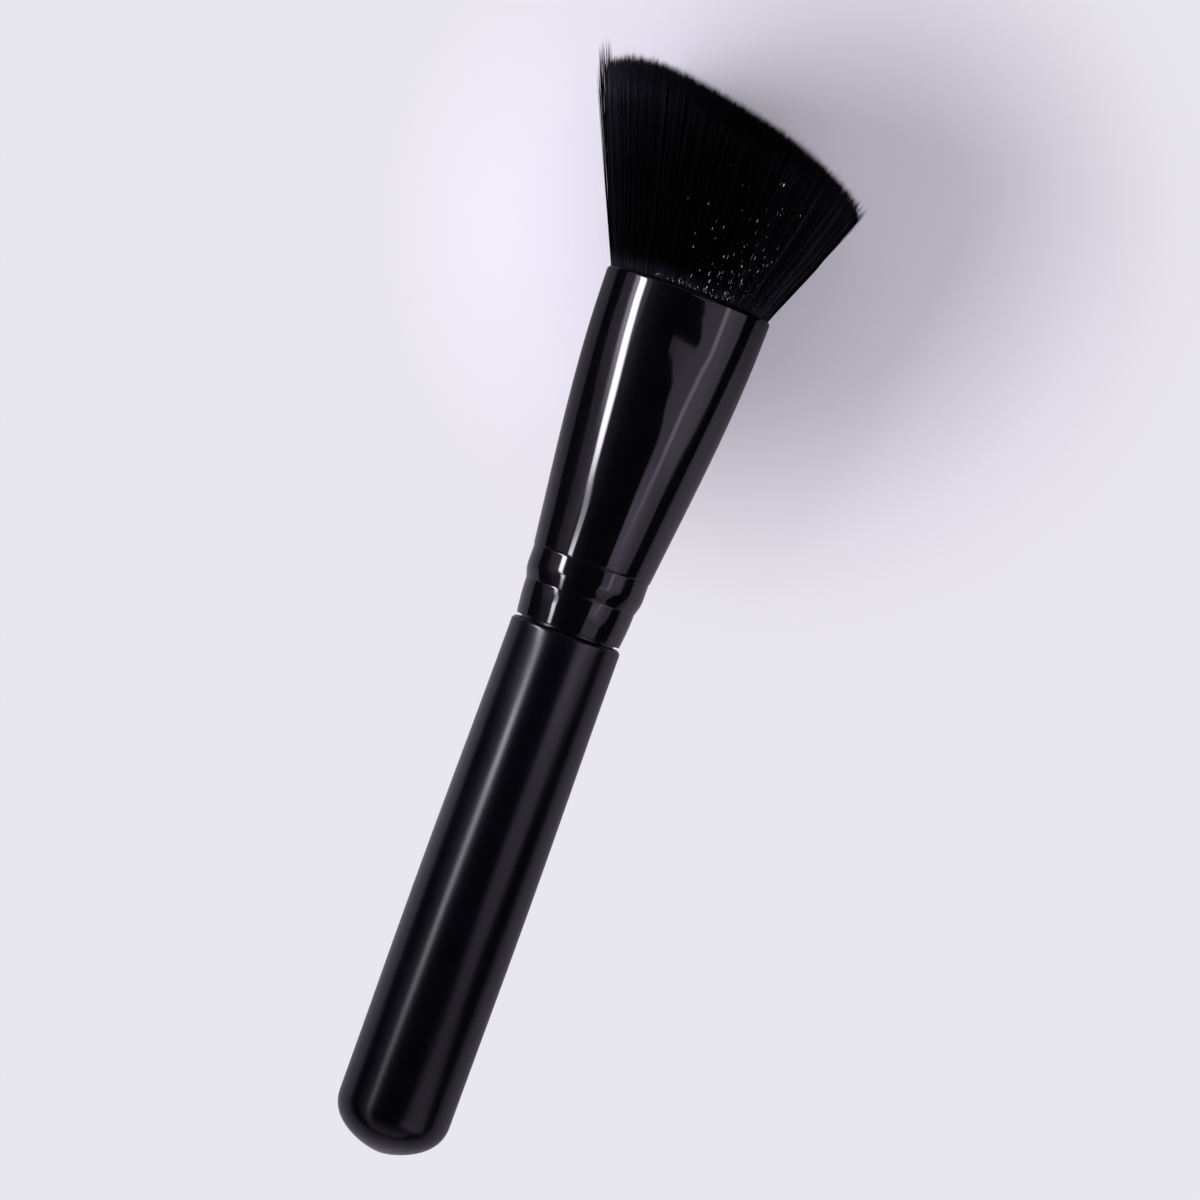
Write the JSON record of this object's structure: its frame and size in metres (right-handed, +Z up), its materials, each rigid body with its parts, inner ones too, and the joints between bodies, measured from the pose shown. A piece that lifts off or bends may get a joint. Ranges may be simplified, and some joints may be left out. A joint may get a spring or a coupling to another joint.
{
  "type": "angled blush brush",
  "caption": "Cosmetic brush with a slanted, domed tuft of straight fibres in a flared, crimped metal ferrule on a round handle.",
  "frame": {"origin": "centre of the brush's footprint on the table that it lies on, at table height", "axes": "+Y from the butt towards the tuft, +Z up from the table, -X towards the long side of the slanted tuft"},
  "size_m": [0.041, 0.1562, 0.0344],
  "materials": {
    "lacquered_wood": "satin",
    "black_aluminium": "gloss",
    "black_fibre": "satin",
    "cured_resin": "gloss",
    "dried_glue": "satin"
  },
  "bodies": {
    "root": {"handle": "lacquered_wood", "ferrule": "black_aluminium", "bristle_tuft": "black_fibre", "root_plug": "cured_resin", "tenon_adhesive": "dried_glue"}
  },
  "joints": []
}
